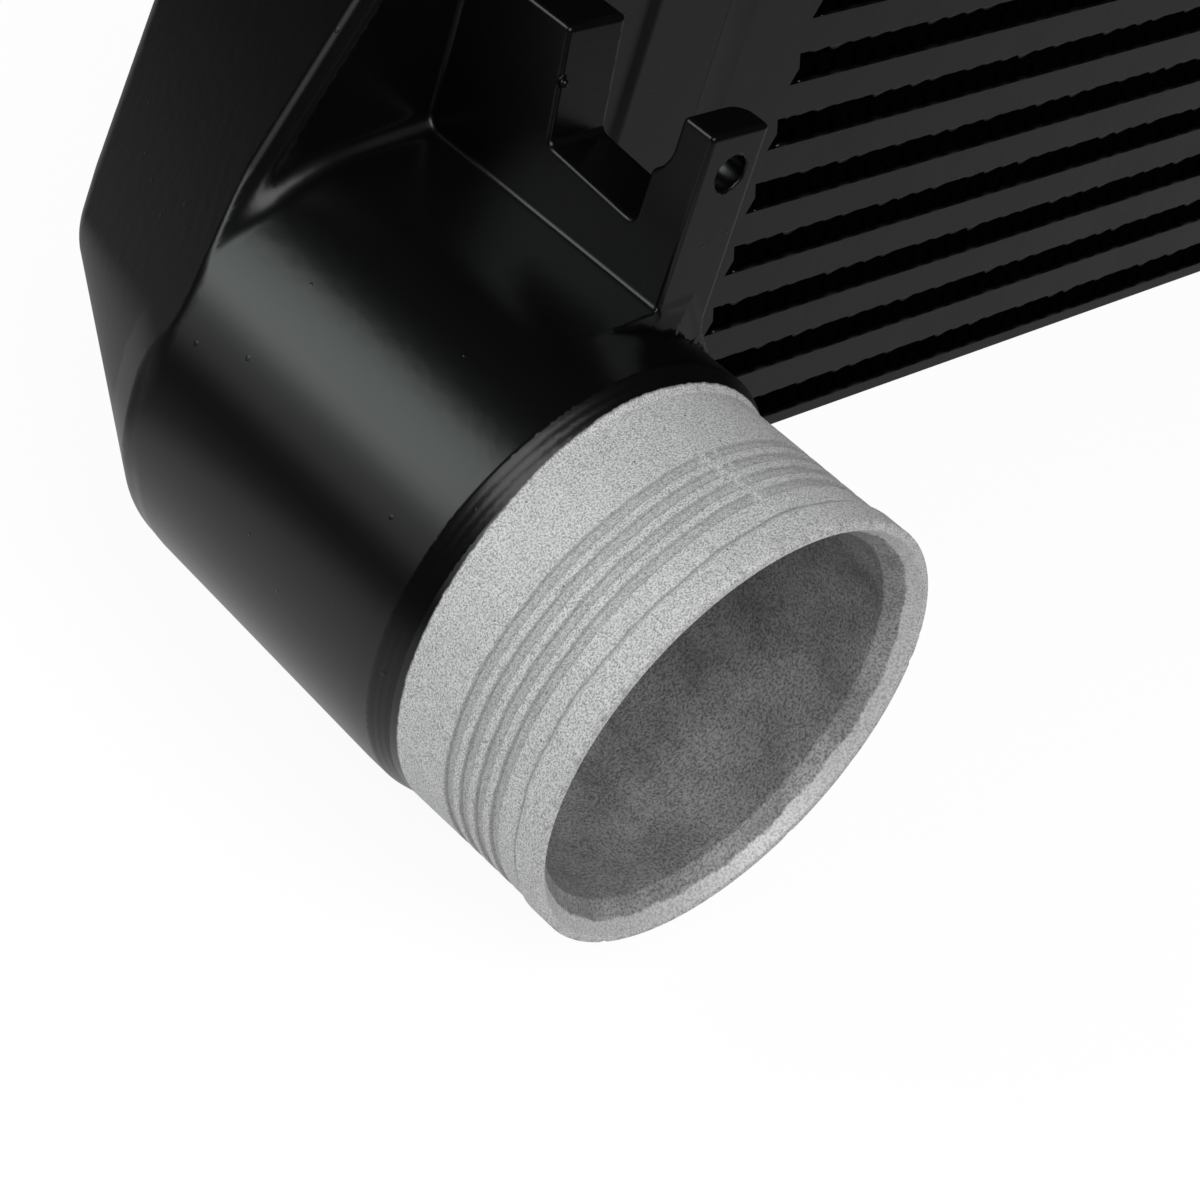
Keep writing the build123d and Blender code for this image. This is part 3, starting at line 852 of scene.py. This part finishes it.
@dataclass
class HoseNeck:
    """Left raw neck with its lip, square grooves, casting flash and bevelled mouth."""

    centre_x: float = -333.0
    centre_z: float = 51.1
    mouth_y: float = -149.4
    root_y: float = -109.4
    radius: float = 38.5
    bore: float = 33.97
    lip_rise: float = 0.45
    lip_y: float = -143.4
    bevel_radius: float = 37.5
    bevel_y: float = -144.55  # where the mouth's bevel runs out in the bore
    skin_y: float = -147.2  # behind it the bevel keeps its cast skin
    grooves: tuple[float, ...] = (-138.6, -135.3, -131.95, -128.65)
    groove_width: float = 1.7
    groove_depth: float = 0.45
    flash_angle: float = 91.9  # degrees round from +X towards +Z, where the mould parted
    set_back_most: float = 0.8
    set_back_angle: float = np.radians(225.0)
    around: int = 420

    def wall_places(self) -> Array:
        """Places along Y of the outer wall's points, close together at the grooves and the lip."""
        marks = list(np.linspace(self.mouth_y + 0.75, self.lip_y - 1.3, 9))
        marks += list(np.linspace(self.lip_y - 1.1, self.lip_y + 0.9, 15))
        for middle in self.grooves:
            marks += list(np.linspace(middle - 1.5, middle + 1.5, 21))
        marks += list(np.linspace(self.grooves[-1] + 1.9, self.root_y - 1.0, 30))
        return np.array(sorted(marks))

    def profile(self) -> Array:
        """Closed section as rows of radius and Y, from the bore's end round the mouth to the root."""
        bore = np.stack([np.full(30, self.bore), np.linspace(-104.0, self.bevel_y + 0.3, 30)], 1)
        inner = np.stack([np.linspace(self.bore, self.bevel_radius - 0.1, 16),
                          np.linspace(self.bevel_y, self.mouth_y + 0.24, 16)], 1)
        face = np.stack([np.linspace(self.bevel_radius + 0.06, self.radius - 0.7, 4),
                         np.full(4, self.mouth_y + 0.1)], 1)
        turn = np.linspace(0, np.pi / 2, 7)
        outer = np.stack([self.radius - 0.55 + 0.55 * np.sin(turn),
                          self.mouth_y + 0.65 - 0.55 * np.cos(turn)], 1)
        wall_y = self.wall_places()
        wall = np.stack([np.full(len(wall_y), self.radius), wall_y], 1)
        root = np.array([[self.radius - 0.3, self.root_y], [self.bore + 1.2, self.root_y + 1.5],
                         [self.bore + 0.6, self.root_y + 5.9]])
        return np.concatenate([bore, inner, face, outer, wall, root])

    def from_flash(self, angle: Array) -> Array:
        """Degrees past the mould's parting line, from -180 to 180."""
        return (np.degrees(angle) - self.flash_angle + 180) % 360 - 180

    def cuts(self, angle: Array, y: Array) -> Array:
        """How far each point lies in a groove, from 0 on the wall to 1 on a floor.

        Each groove is a trapezoid whose edges wander; at the parting line lumps of flash
        fill it.

        Args:
            angle: Angle round the axis in radians.
            y: Y of the points.

        Returns:
            Depth as a share.
        """
        wander = 0.12 * np.sin(3 * angle + y / 9) + 0.04 * np.sin(11 * angle + 1.3)
        wander = wander + 0.02 * np.sin(29 * angle)
        from_flash = self.from_flash(angle)
        depth = np.zeros(np.broadcast(angle, y).shape)
        for number, middle in enumerate(self.grooves):
            drift = wander * (1 + 0.2 * number) + 0.02 * np.sin(37 * angle + number)
            away = np.abs(y - middle - drift)
            cut = np.clip((self.groove_width / 2 + 0.1 - away) / 0.2, 0, 1)
            lump = np.exp(-((from_flash - 0.6 * number) / 1.1) ** 2)
            lump = lump + 0.8 * np.exp(-((from_flash + 2.2) / 0.6) ** 2)
            depth += cut * (1 - np.clip(lump, 0, 1))
        return depth

    def past_lip(self, angle: Array, y: Array) -> Array:
        """Distance in front of the wavy line behind the lip."""
        wave = 0.22 * np.sin(5 * angle) + 0.12 * np.sin(17 * angle) + 0.05 * np.sin(43 * angle)
        return self.lip_y - y + wave

    def relief(self, angle: Array, y: Array) -> Array:
        """Height of the outer wall above the plain section, in millimetres.

        The grooves are cut in; the lip rises behind a fine crease; a low seam marks where
        the mould parted; and the whole surface swells and sinks a little as cast.

        Args:
            angle: Angle round the axis in radians.
            y: Y of the points.

        Returns:
            Height, positive outwards.
        """
        height = -self.groove_depth * self.cuts(angle, y)
        past = self.past_lip(angle, y)
        height += self.lip_rise * np.clip(past / 0.8, 0, 1)
        height -= 0.18 * np.exp(-((past + 0.15) / 0.25) ** 2)
        seam = np.exp(-(self.from_flash(angle) / 0.7) ** 2) * np.clip((-126 - y) / 3, 0, 1)
        height += 0.07 * seam * (1 + np.sin(y * 2.3))
        return height + 0.04 * np.sin(2 * angle + y / 17) + 0.02 * np.sin(7 * angle - y / 6)

    def set_back(self, angle: Array, y: Array) -> Array:
        """How far the mouth stands back, for it leans: most at one angle, none opposite."""
        share = (1 + np.cos(angle - self.set_back_angle)) * np.clip((-140.0 - y) / 8.0, 0, 1)
        return self.set_back_most / 2 * share

    def nicks(self, angle: Array) -> Array:
        """Small dents round the lip's outer corner: sines of many turns, cut off below a level."""
        waves = np.sin(13 * angle + 1) + np.sin(29 * angle + 2) + np.sin(47 * angle)
        return 0.22 * np.clip(waves + 0.8 * np.sin(83 * angle) - 1.6, 0, 1.5)

    def painted_shade(self, angle: Array, y: Array, corner: Array) -> Array:
        """How dark each point of the wall is, from 0 to 1.

        Shade is painted in the grooves and most at their rear edges, along the crease behind the
        lip, and in pits at the lip's corner: sines of many turns, cut off below a level.

        Args:
            angle: Angle round the axis in radians.
            y: Y of the points.
            corner: How near each point of the section is to the lip's outer corner.

        Returns:
            Darkness.
        """
        cuts = self.cuts(angle, y)
        rear = np.clip(np.gradient(cuts, axis=1) * -3, 0, 1)
        crease = np.exp(-((self.past_lip(angle, y) + 0.1) / 0.22) ** 2)
        waves = np.sin(61 * angle + 2) + np.sin(97 * angle) + np.sin(101 * angle + 1)
        pits = np.clip(waves - 0.9, 0, 1) * corner
        return 0.26 * cuts + 0.4 * rear + 0.6 * crease + 0.5 * pits

    def shape(self) -> tuple[Array, Array, Array, dict[str, Array]]:
        """Turns the section round the axis and adds the relief.

        Returns:
            Points and quads of the left neck, 1 for each quad of the bore and its bevel,
            and by name how much painted shade each point has and how bare it is.
        """
        section = self.profile()
        angle = np.linspace(0, 2 * np.pi, self.around, endpoint=False)[:, None]
        y = np.broadcast_to(section[:, 1], (self.around, len(section)))
        on_wall = (section[:, 0] > self.radius - 0.6) & (section[:, 1] < self.root_y - 0.6)
        corner = np.exp(-((section[:, 1] - self.mouth_y - 0.3) / 0.5) ** 2) * on_wall
        lifted = np.where(section[:, 1] < self.mouth_y + 0.75, self.lip_rise, self.relief(angle, y))
        radius = section[:, 0] + lifted * on_wall - self.nicks(angle) * corner
        points = np.stack([self.centre_x + radius * np.cos(angle), y + self.set_back(angle, y),
                           self.centre_z + radius * np.sin(angle)], -1)
        quads = grid_quads(self.around, len(section), True, True)[:, ::-1]
        in_bore = (section[:, 0] < self.bevel_radius - 0.15) & (section[:, 1] < self.root_y + 5.6)
        skin = self.skin_y + 0.12 * np.sin(7 * angle) + 0.1 * np.sin(23 * angle + 1)
        bare = np.clip(0.5 + (skin - y) / 0.8, 0, 1)
        # painted shade in the grooves, the crease and the pits, which the materials darken by
        marks = {"painted_shade": (self.painted_shade(angle, y, corner) * on_wall).ravel(), "bare": bare.ravel()}
        return points.reshape(-1, 3), quads, np.tile(in_bore, self.around), marks


# ---- The core ---------------------------------------------------------------------------
@dataclass
class FinRow:
    """One row of corrugated sheet between two passages."""

    number: int
    period: float = 5.3
    sheet: float = 0.3
    height: float = 6.5
    pitch: float = 13.5
    lowest: float = 2.6
    half_length: float = 232.2
    front: float = -48.9
    back: float = 48.9
    samples: int = 12

    def wave(self, along: Array) -> Array:
        """Height of the sheet's middle: a triangle wave whose crests are flattened and eased."""
        swing = np.sin(2 * np.pi * along / self.period)
        return np.tanh(2.4 * swing) / np.tanh(2.4)

    def shape(self) -> tuple[Array, Array]:
        """Works out the row: the wave carried from front to back, closed round its edges.

        Returns:
            Points and quads.
        """
        middle = self.lowest + self.number * self.pitch + self.height / 2
        folds = int(2 * self.half_length / self.period)
        along = np.linspace(-folds * self.period / 2, folds * self.period / 2, folds * self.samples + 1)
        along = along + 0.12 * np.sin(along / 31.0 + self.number * 1.7)
        swing = (self.height - self.sheet) / 2 - 0.01
        line = middle + swing * self.wave(along)
        steep = np.gradient(line, along)
        lean = np.hypot(1, steep)
        side_x, side_z = -steep / lean * self.sheet / 2, 1 / lean * self.sheet / 2
        upper = np.stack([along + side_x, line + side_z], 1)
        lower = np.stack([along - side_x, line - side_z], 1)[::-1]
        loop = np.concatenate([upper, lower])
        depth = np.array([self.front, self.back])[:, None]
        points = np.empty((2, len(loop), 3))
        points[..., 0] = loop[:, 0]
        points[..., 1] = depth
        points[..., 2] = np.clip(loop[:, 1], middle - self.height / 2 + 0.01, middle + self.height / 2 - 0.01)
        count = len(upper)
        walls = grid_quads(2, 2 * count, False, True)
        k = np.arange(count - 1)
        caps = np.stack([k, k + 1, 2 * count - 2 - k, 2 * count - 1 - k], 1)
        ends = np.concatenate([caps, caps[:, ::-1] + 2 * count])
        return points.reshape(-1, 3), np.concatenate([walls, ends])[:, ::-1]


@dataclass
class CrestBeads:
    """Braze and paint gathered where each fold meets a bar, seen as teeth along the bars."""

    facing: int  # -1 for the front of the core, 1 for the back
    period: float = 5.3
    rows: int = 16
    pitch: float = 13.5
    lowest: float = 2.6
    height: float = 6.5
    half_length: float = 231.0
    face_y: float = 49.95
    depth: float = 1.6
    samples: float = 5.9  # points along each period

    def strip(self, z: float, way: int, phase: float) -> tuple[Array, Array]:
        """One bead under or over a row of crests.

        Its rise from the bar is an uneven wave: quick up on one side of a crest and slow
        down on the other, and each crest has its own size.

        Args:
            z: Height of the bar's edge.
            way: 1 where the bead rises from the edge, -1 where it hangs from it.
            phase: Where the crests stand along X, in periods.

        Returns:
            Points and quads.
        """
        count = int(2 * self.half_length / self.period * self.samples)
        along = np.linspace(-self.half_length, self.half_length, count)
        turn = (along / self.period + phase) % 1.0
        tooth = np.clip(turn / 0.16, 0, 1) * np.clip((1 - turn) / 0.62, 0, 1)
        crest = np.floor(along / self.period + phase)
        size = 0.36 + 0.13 * np.sin(2.4 * crest + z) + 0.1 * np.sin(5.3 * crest + 2 * z)
        rise = 0.05 + (1.8 * size if way < 0 else 1.3 * size) * tooth
        face, deep = self.face_y, self.face_y - self.depth
        section_y = np.array([face - 0.02, face, face - 0.16, face - 0.6, deep, deep])
        section_z = np.array([-0.25, 0.0, 1.0, 0.86, 0.3, -0.25])
        points = np.empty((count, 6, 3))
        points[..., 0] = along[:, None]
        points[..., 1] = section_y * self.facing
        points[..., 2] = z + way * np.where(section_z < 0, section_z, section_z * rise[:, None])
        end = np.array([[0, 1, 2, 3], [0, 3, 4, 5]])
        quads = np.concatenate([grid_quads(count, 6, False, True), end, end[:, ::-1] + (count - 1) * 6])
        return points.reshape(-1, 3), quads[:, ::-1] if self.facing * way > 0 else quads

    def shape(self) -> tuple[Array, Array]:
        """Puts two beads on each row.

        Returns:
            Points and quads of them all.
        """
        points, quads, start = [], [], 0
        for row in range(self.rows):
            low = self.lowest + row * self.pitch
            shift = 0.37 * np.sin(row * 2.1)
            for z, way, phase in ((low, 1, 0.0 + shift), (low + self.height, -1, 0.5 + shift)):
                spots, net = self.strip(z, way, phase)
                points.append(spots)
                quads.append(net + start)
                start += len(spots)
        return np.concatenate(points), np.concatenate(quads)


@dataclass
class WeldBead:
    """Ground weld round the left seam, between the tank and the core."""

    seam: float = -250.0
    half_y: float = 50.0
    half_z: float = 107.1
    width: float = 7.2
    corner: float = 3.4

    def track(self, inset: Array) -> tuple[Array, Array, Array]:
        """Rounded rectangle round the seam.

        The corners are quarter circles about fixed centres whose radius shrinks as the line
        moves in; the straight sides run between them.

        Args:
            inset: Depth below the walls, one value a column.

        Returns:
            Y, Z and the length along the outermost line, one row a station.
        """
        stations = []
        for number, (sy, sz) in enumerate(((1, -1), (1, 1), (-1, 1), (-1, -1))):
            for turn in np.linspace(0, np.pi / 2, 10):
                stations.append((sy * (self.half_y - self.corner), sz * (self.half_z - self.corner),
                                 turn + (number - 1) * np.pi / 2))
        corners = np.array(stations).reshape(4, 10, 3)
        parts = []
        for number in range(4):
            parts.append(corners[number])
            a, b = corners[number, -1], corners[(number + 1) % 4, 0]
            steps = int(np.hypot(*(b[:2] - a[:2])) / 1.1)
            share = np.linspace(0, 1, steps)[1:-1, None]
            straight = a[:2] + share * (b[:2] - a[:2])
            parts.append(np.concatenate([straight, np.full((len(share), 1), a[2])], 1))
        line = np.concatenate(parts)
        reach = self.corner - inset
        y = line[:, :1] + reach * np.cos(line[:, 2:])
        z = line[:, 1:2] + reach * np.sin(line[:, 2:])
        step = np.hypot(np.diff(y[:, 0], append=y[0, 0]), np.diff(z[:, 0], append=z[0, 0]))
        return y, z + self.half_z, np.cumsum(step)[:, None]

    def shape(self) -> tuple[Array, Array]:
        """Carries the bead's section round the seam.

        The section is a shallow dish that deepens by faint ripples, over a wedge that
        reaches into the groove.

        Returns:
            Points and quads of the left weld.
        """
        across = np.array([0.0, 0.015, 0.12, 0.3, 0.5, 0.7, 0.88, 0.985, 1.0])
        x = self.seam - self.width * (1 - across)
        dish = 0.002 + 0.10 * np.sin(np.pi * across)
        under_x = np.array([self.seam - 0.2, self.seam - 2.5, self.seam - self.width + 0.5])
        under = np.array([2.7, 1.7, 0.45])
        section_x, inset = np.concatenate([x, under_x]), np.concatenate([dish, under])
        y, z, run = self.track(inset)
        ripple = 0.035 * np.sin(run * 2 * np.pi / 2.3 + 0.6 * np.sin(run / 7))
        top = np.arange(len(inset)) < len(across)
        swell = top * np.sin(np.pi * np.clip((section_x - x[0]) / self.width, 0, 1))
        y, z, _ = self.track(inset + ripple * swell)
        points = np.stack([np.broadcast_to(section_x, y.shape), y, z], -1)
        return points.reshape(-1, 3), grid_quads(len(y), len(inset), True, True)


# ---- The studio -------------------------------------------------------------------------
@dataclass
class Lamp:
    """One soft lamp: where it hangs, what it looks at, its size in metres, power and tint."""

    name: str
    place: tuple[float, float, float]
    aim: tuple[float, float, float]
    size: tuple[float, float]
    watts: float
    tint: tuple[float, float, float] = (1.0, 1.0, 1.0)

    def hang(self) -> None:
        """Puts the lamp in the scene."""
        data = bpy.data.lights.new(self.name, "AREA")
        data.shape = "RECTANGLE"
        data.size, data.size_y = self.size
        data.energy = self.watts
        data.color = self.tint
        lamp = bpy.data.objects.new(self.name, data)
        bpy.context.scene.collection.objects.link(lamp)
        away = Vector(self.place) - Vector(self.aim)
        turn = away.to_track_quat("Z", "Y").to_matrix().to_4x4()
        lamp.matrix_world = Matrix.Translation(self.place) @ turn


@dataclass(frozen=True)
class Glow:
    """Round patch of the floor that is light in reflections only; lengths in metres."""

    middle: tuple[float, float]
    near: float  # out to here it has its full strength
    far: float  # and from here on the rest
    strength: float
    rest: float = 0.0

    def cast(self, desk: NodeDesk) -> bpy.types.NodeSocket:
        """Strength of the patch at each point of the floor."""
        offset = (-self.middle[0], -self.middle[1], 0.0)
        place = desk.node("ShaderNodeVectorMath", {0: desk.coords, 1: offset}, operation="ADD")
        away = desk.node("ShaderNodeVectorMath", {0: place.outputs[0]}, operation="LENGTH").outputs["Value"]
        return desk.span(away, self.near, self.far, self.strength, self.rest)


@dataclass
class Studio:
    """Camera, floor, surroundings and lamps."""

    camera_at: tuple[float, float, float] = (-669.36, -354.78, 355.32)
    right: tuple[float, float, float] = (0.70128, -0.66428, 0.25872)
    down: tuple[float, float, float] = (-0.27244, -0.58510, -0.76383)
    look: tuple[float, float, float] = (0.65878, 0.46517, -0.59128)
    lens: float = 101.62
    floor_shade: float = 0.8
    floor_reach: float = 6.0
    pool: Glow = Glow((-0.10, -0.05), 0.2, 0.62, 0.28, 0.01)
    beside: Glow = Glow((-0.41, -0.05), 0.05, 0.20, 0.4)  # left of the boss
    beside_ends: tuple[float, float] = (-0.005, 0.025)  # Y over which that one fades out
    behind: Glow = Glow((-0.33, 0.07), 0.03, 0.08, 0.12)  # behind the tank
    lamps: list[Lamp] = field(default_factory=lambda: [
        Lamp("key_softbox", (-1.079, 0.620, 0.831), (-0.333, -0.08, 0.06), (0.60, 0.66), 3.6,
             (0.91, 1.0, 0.97)),
        Lamp("side_panel", (-1.25, 0.55, 0.42), (-0.333, -0.08, 0.06), (0.8, 0.6), 1.0),
        Lamp("front_softbox", (-0.66, -0.95, 1.00), (-0.34, -0.10, 0.07), (1.1, 0.8), 8.0),
    ])

    def place_camera(self) -> None:
        """Sets up the camera at the viewing angle."""
        data = bpy.data.cameras.new("camera")
        data.sensor_width = 36.0
        data.lens = self.lens
        data.clip_start, data.clip_end = 0.01, 50.0
        camera = bpy.data.objects.new("camera", data)
        bpy.context.scene.collection.objects.link(camera)
        turn = Matrix((self.right, -Vector(self.down), -Vector(self.look))).transposed()
        camera.matrix_world = Matrix.Translation(Vector(self.camera_at) * MM) @ turn.to_4x4()
        bpy.context.scene.camera = camera

    def lay_floor(self) -> None:
        """Lays a pale floor that the camera sees as white, with the part's soft shadow.

        Reflections see it dark but for three patches of glow.
        """
        desk = NodeDesk("white_floor")
        path = desk.node("ShaderNodeLightPath").outputs
        depth = desk.node("ShaderNodeSeparateXYZ", {0: desk.coords}).outputs["Y"]
        in_front = desk.span(depth, *self.beside_ends, 1.0, 0.0)
        beside = desk.maths("MULTIPLY", self.beside.cast(desk), in_front)
        pool = desk.maths("ADD", self.pool.cast(desk), desk.maths("ADD", beside, self.behind.cast(desk)))
        indirect = desk.maths("ADD", path["Is Glossy Ray"], path["Is Transmission Ray"])
        mirrored_too = desk.maths("MULTIPLY", indirect, pool)
        seen = desk.maths("ADD", desk.maths("MULTIPLY", path["Is Camera Ray"], 1.06), mirrored_too)
        glow = desk.node("ShaderNodeEmission", {"Color": (1, 1, 1, 1), "Strength": seen}).outputs[0]
        shade = desk.node("ShaderNodeBsdfDiffuse", {"Color": grey(self.floor_shade)}).outputs[0]
        share = desk.maths("ADD", desk.maths("MULTIPLY", path["Is Camera Ray"], 0.88), path["Is Glossy Ray"])
        mixed = desk.node("ShaderNodeMixShader", {0: share, 1: shade, 2: glow})
        desk.node("ShaderNodeOutputMaterial", {"Surface": mixed.outputs[0]})
        desk.material.cycles.emission_sampling = "NONE"
        mesh = bpy.data.meshes.new("floor")
        reach, just_under = self.floor_reach, -0.0002
        corners = np.array([[-reach, -reach, just_under], [reach, -reach, just_under],
                            [reach, reach, just_under], [-reach, reach, just_under]])
        fill_mesh(mesh, corners, np.array([[0, 1, 2, 3]]))
        mesh.materials.append(desk.material)
        floor = bpy.data.objects.new("floor", mesh)
        bpy.context.scene.collection.objects.link(floor)

    def surround(self) -> None:
        """White surroundings to the camera, soft grey light on the part and dark reflections."""
        world = bpy.data.worlds.new("surroundings")
        bpy.context.scene.world = world
        world.use_nodes = True
        tree = world.node_tree
        tree.nodes.clear()
        path = tree.nodes.new("ShaderNodeLightPath").outputs
        soft = tree.nodes.new("ShaderNodeMapRange")
        soft.inputs["To Min"].default_value, soft.inputs["To Max"].default_value = 0.5, 0.02
        tree.links.new(path["Is Glossy Ray"], soft.inputs["Value"])
        seen = tree.nodes.new("ShaderNodeMath")
        seen.operation = "MAXIMUM"
        tree.links.new(soft.outputs["Result"], seen.inputs[0])
        tree.links.new(path["Is Camera Ray"], seen.inputs[1])
        sky = tree.nodes.new("ShaderNodeBackground")
        tree.links.new(seen.outputs[0], sky.inputs["Strength"])
        out = tree.nodes.new("ShaderNodeOutputWorld")
        tree.links.new(sky.outputs[0], out.inputs["Surface"])
        world.cycles.sampling_method = "NONE"

    def build(self) -> None:
        """Sets up everything but the part."""
        self.place_camera()
        self.lay_floor()
        self.surround()
        for lamp in self.lamps:
            lamp.hang()
        bpy.context.scene.view_settings.view_transform = "Standard"


# ---- The whole part ---------------------------------------------------------------------
@dataclass
class Intercooler:
    """All pieces of the part and the finishes they wear."""

    nodes: dict
    rows: int = 16
    coat: bpy.types.Material = field(init=False)
    fins: bpy.types.Material = field(init=False)
    masked: bpy.types.Material = field(init=False)
    bore: bpy.types.Material = field(init=False)
    sheet: bpy.types.Material = field(init=False)

    def __post_init__(self) -> None:
        """Makes the finishes."""
        self.coat = PowderCoat().make()
        self.fins = FinCoat().make()
        self.masked = RawCasting(name="masked_cast_aluminium", painted_from=-115.25).make()
        # The bore's colour is darker than the outside's: partly a rougher, less blasted skin, partly painted
        # shade inside the tube.
        self.bore = RawCasting(name="rough_cast_bore", colour=0.46, roughness=0.5, grain_size=0.42,
                               contrast=0.5, grain_depth=0.12, mottle_size=9.0, mottle=0.45,
                               turned=True).make()
        self.sheet = BareSheet().make()

    def dress_solids(self) -> None:
        """Gives each solid that stays its finish."""
        for name, node in self.nodes.items():
            inner = name.startswith("turbulator")
            finish = self.sheet if inner else self.fins if name.startswith("air_fin") else self.coat
            for slot in node.material_slots:
                slot.material = finish

    def build_tanks(self) -> None:
        """Makes both castings from one shape."""
        points, faces, normals, inside = CastTank().shape()
        for side in Side:
            spots, net = mirrored(points, faces, side)
            facing = normals if side is Side.LEFT else normals * np.array([-1.0, 1.0, 1.0])
            make_piece(f"casting_{side.word}", spots, net, [self.masked, self.bore],
                       [f"tank_{side.word}"], facing, inside)

    def build_necks(self) -> None:
        """Makes both necks."""
        for side in Side:
            points, quads, in_bore, marks = HoseNeck().shape()
            spots, net = mirrored(points, quads, side)
            neck = make_piece(f"neck_{side.word}", spots, net, [self.masked, self.bore],
                              [f"tank_{side.word}"], finish_of_face=in_bore.astype(int))
            for mark, amount in marks.items():
                layer = neck.data.attributes.new(mark, "FLOAT", "POINT")
                layer.data.foreach_set("value", amount.astype(np.float32))

    def build_core(self) -> None:
        """Makes the fin rows and the beads along them."""
        for number in range(self.rows):
            spots, net = FinRow(number).shape()
            make_piece(f"fin_row_{number + 1:02d}", spots, net, [self.fins],
                       [f"air_fin_{number + 1:02d}"])
        for word, facing in (("front", -1), ("back", 1)):
            spots, net = CrestBeads(facing).shape()
            make_piece(f"crest_beads_{word}", spots, net, [self.coat], [])

    def build_welds(self) -> None:
        """Makes the welds at both seams."""
        for side in Side:
            spots, net = mirrored(*WeldBead().shape(), side)
            make_piece(f"bead_{side.word}", spots, net, [self.coat], [f"weld_{side.word}"])

    def build(self) -> None:
        """Makes the part."""
        self.dress_solids()
        self.build_tanks()
        self.build_necks()
        self.build_core()
        self.build_welds()


def main() -> None:
    """Loads the solids and builds the looks round them."""
    logging.basicConfig(level=logging.INFO, format="%(name)s: %(message)s")
    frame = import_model()
    Studio().build()
    Intercooler(frame["nodes"]).build()


if __name__ == "__main__":
    main()
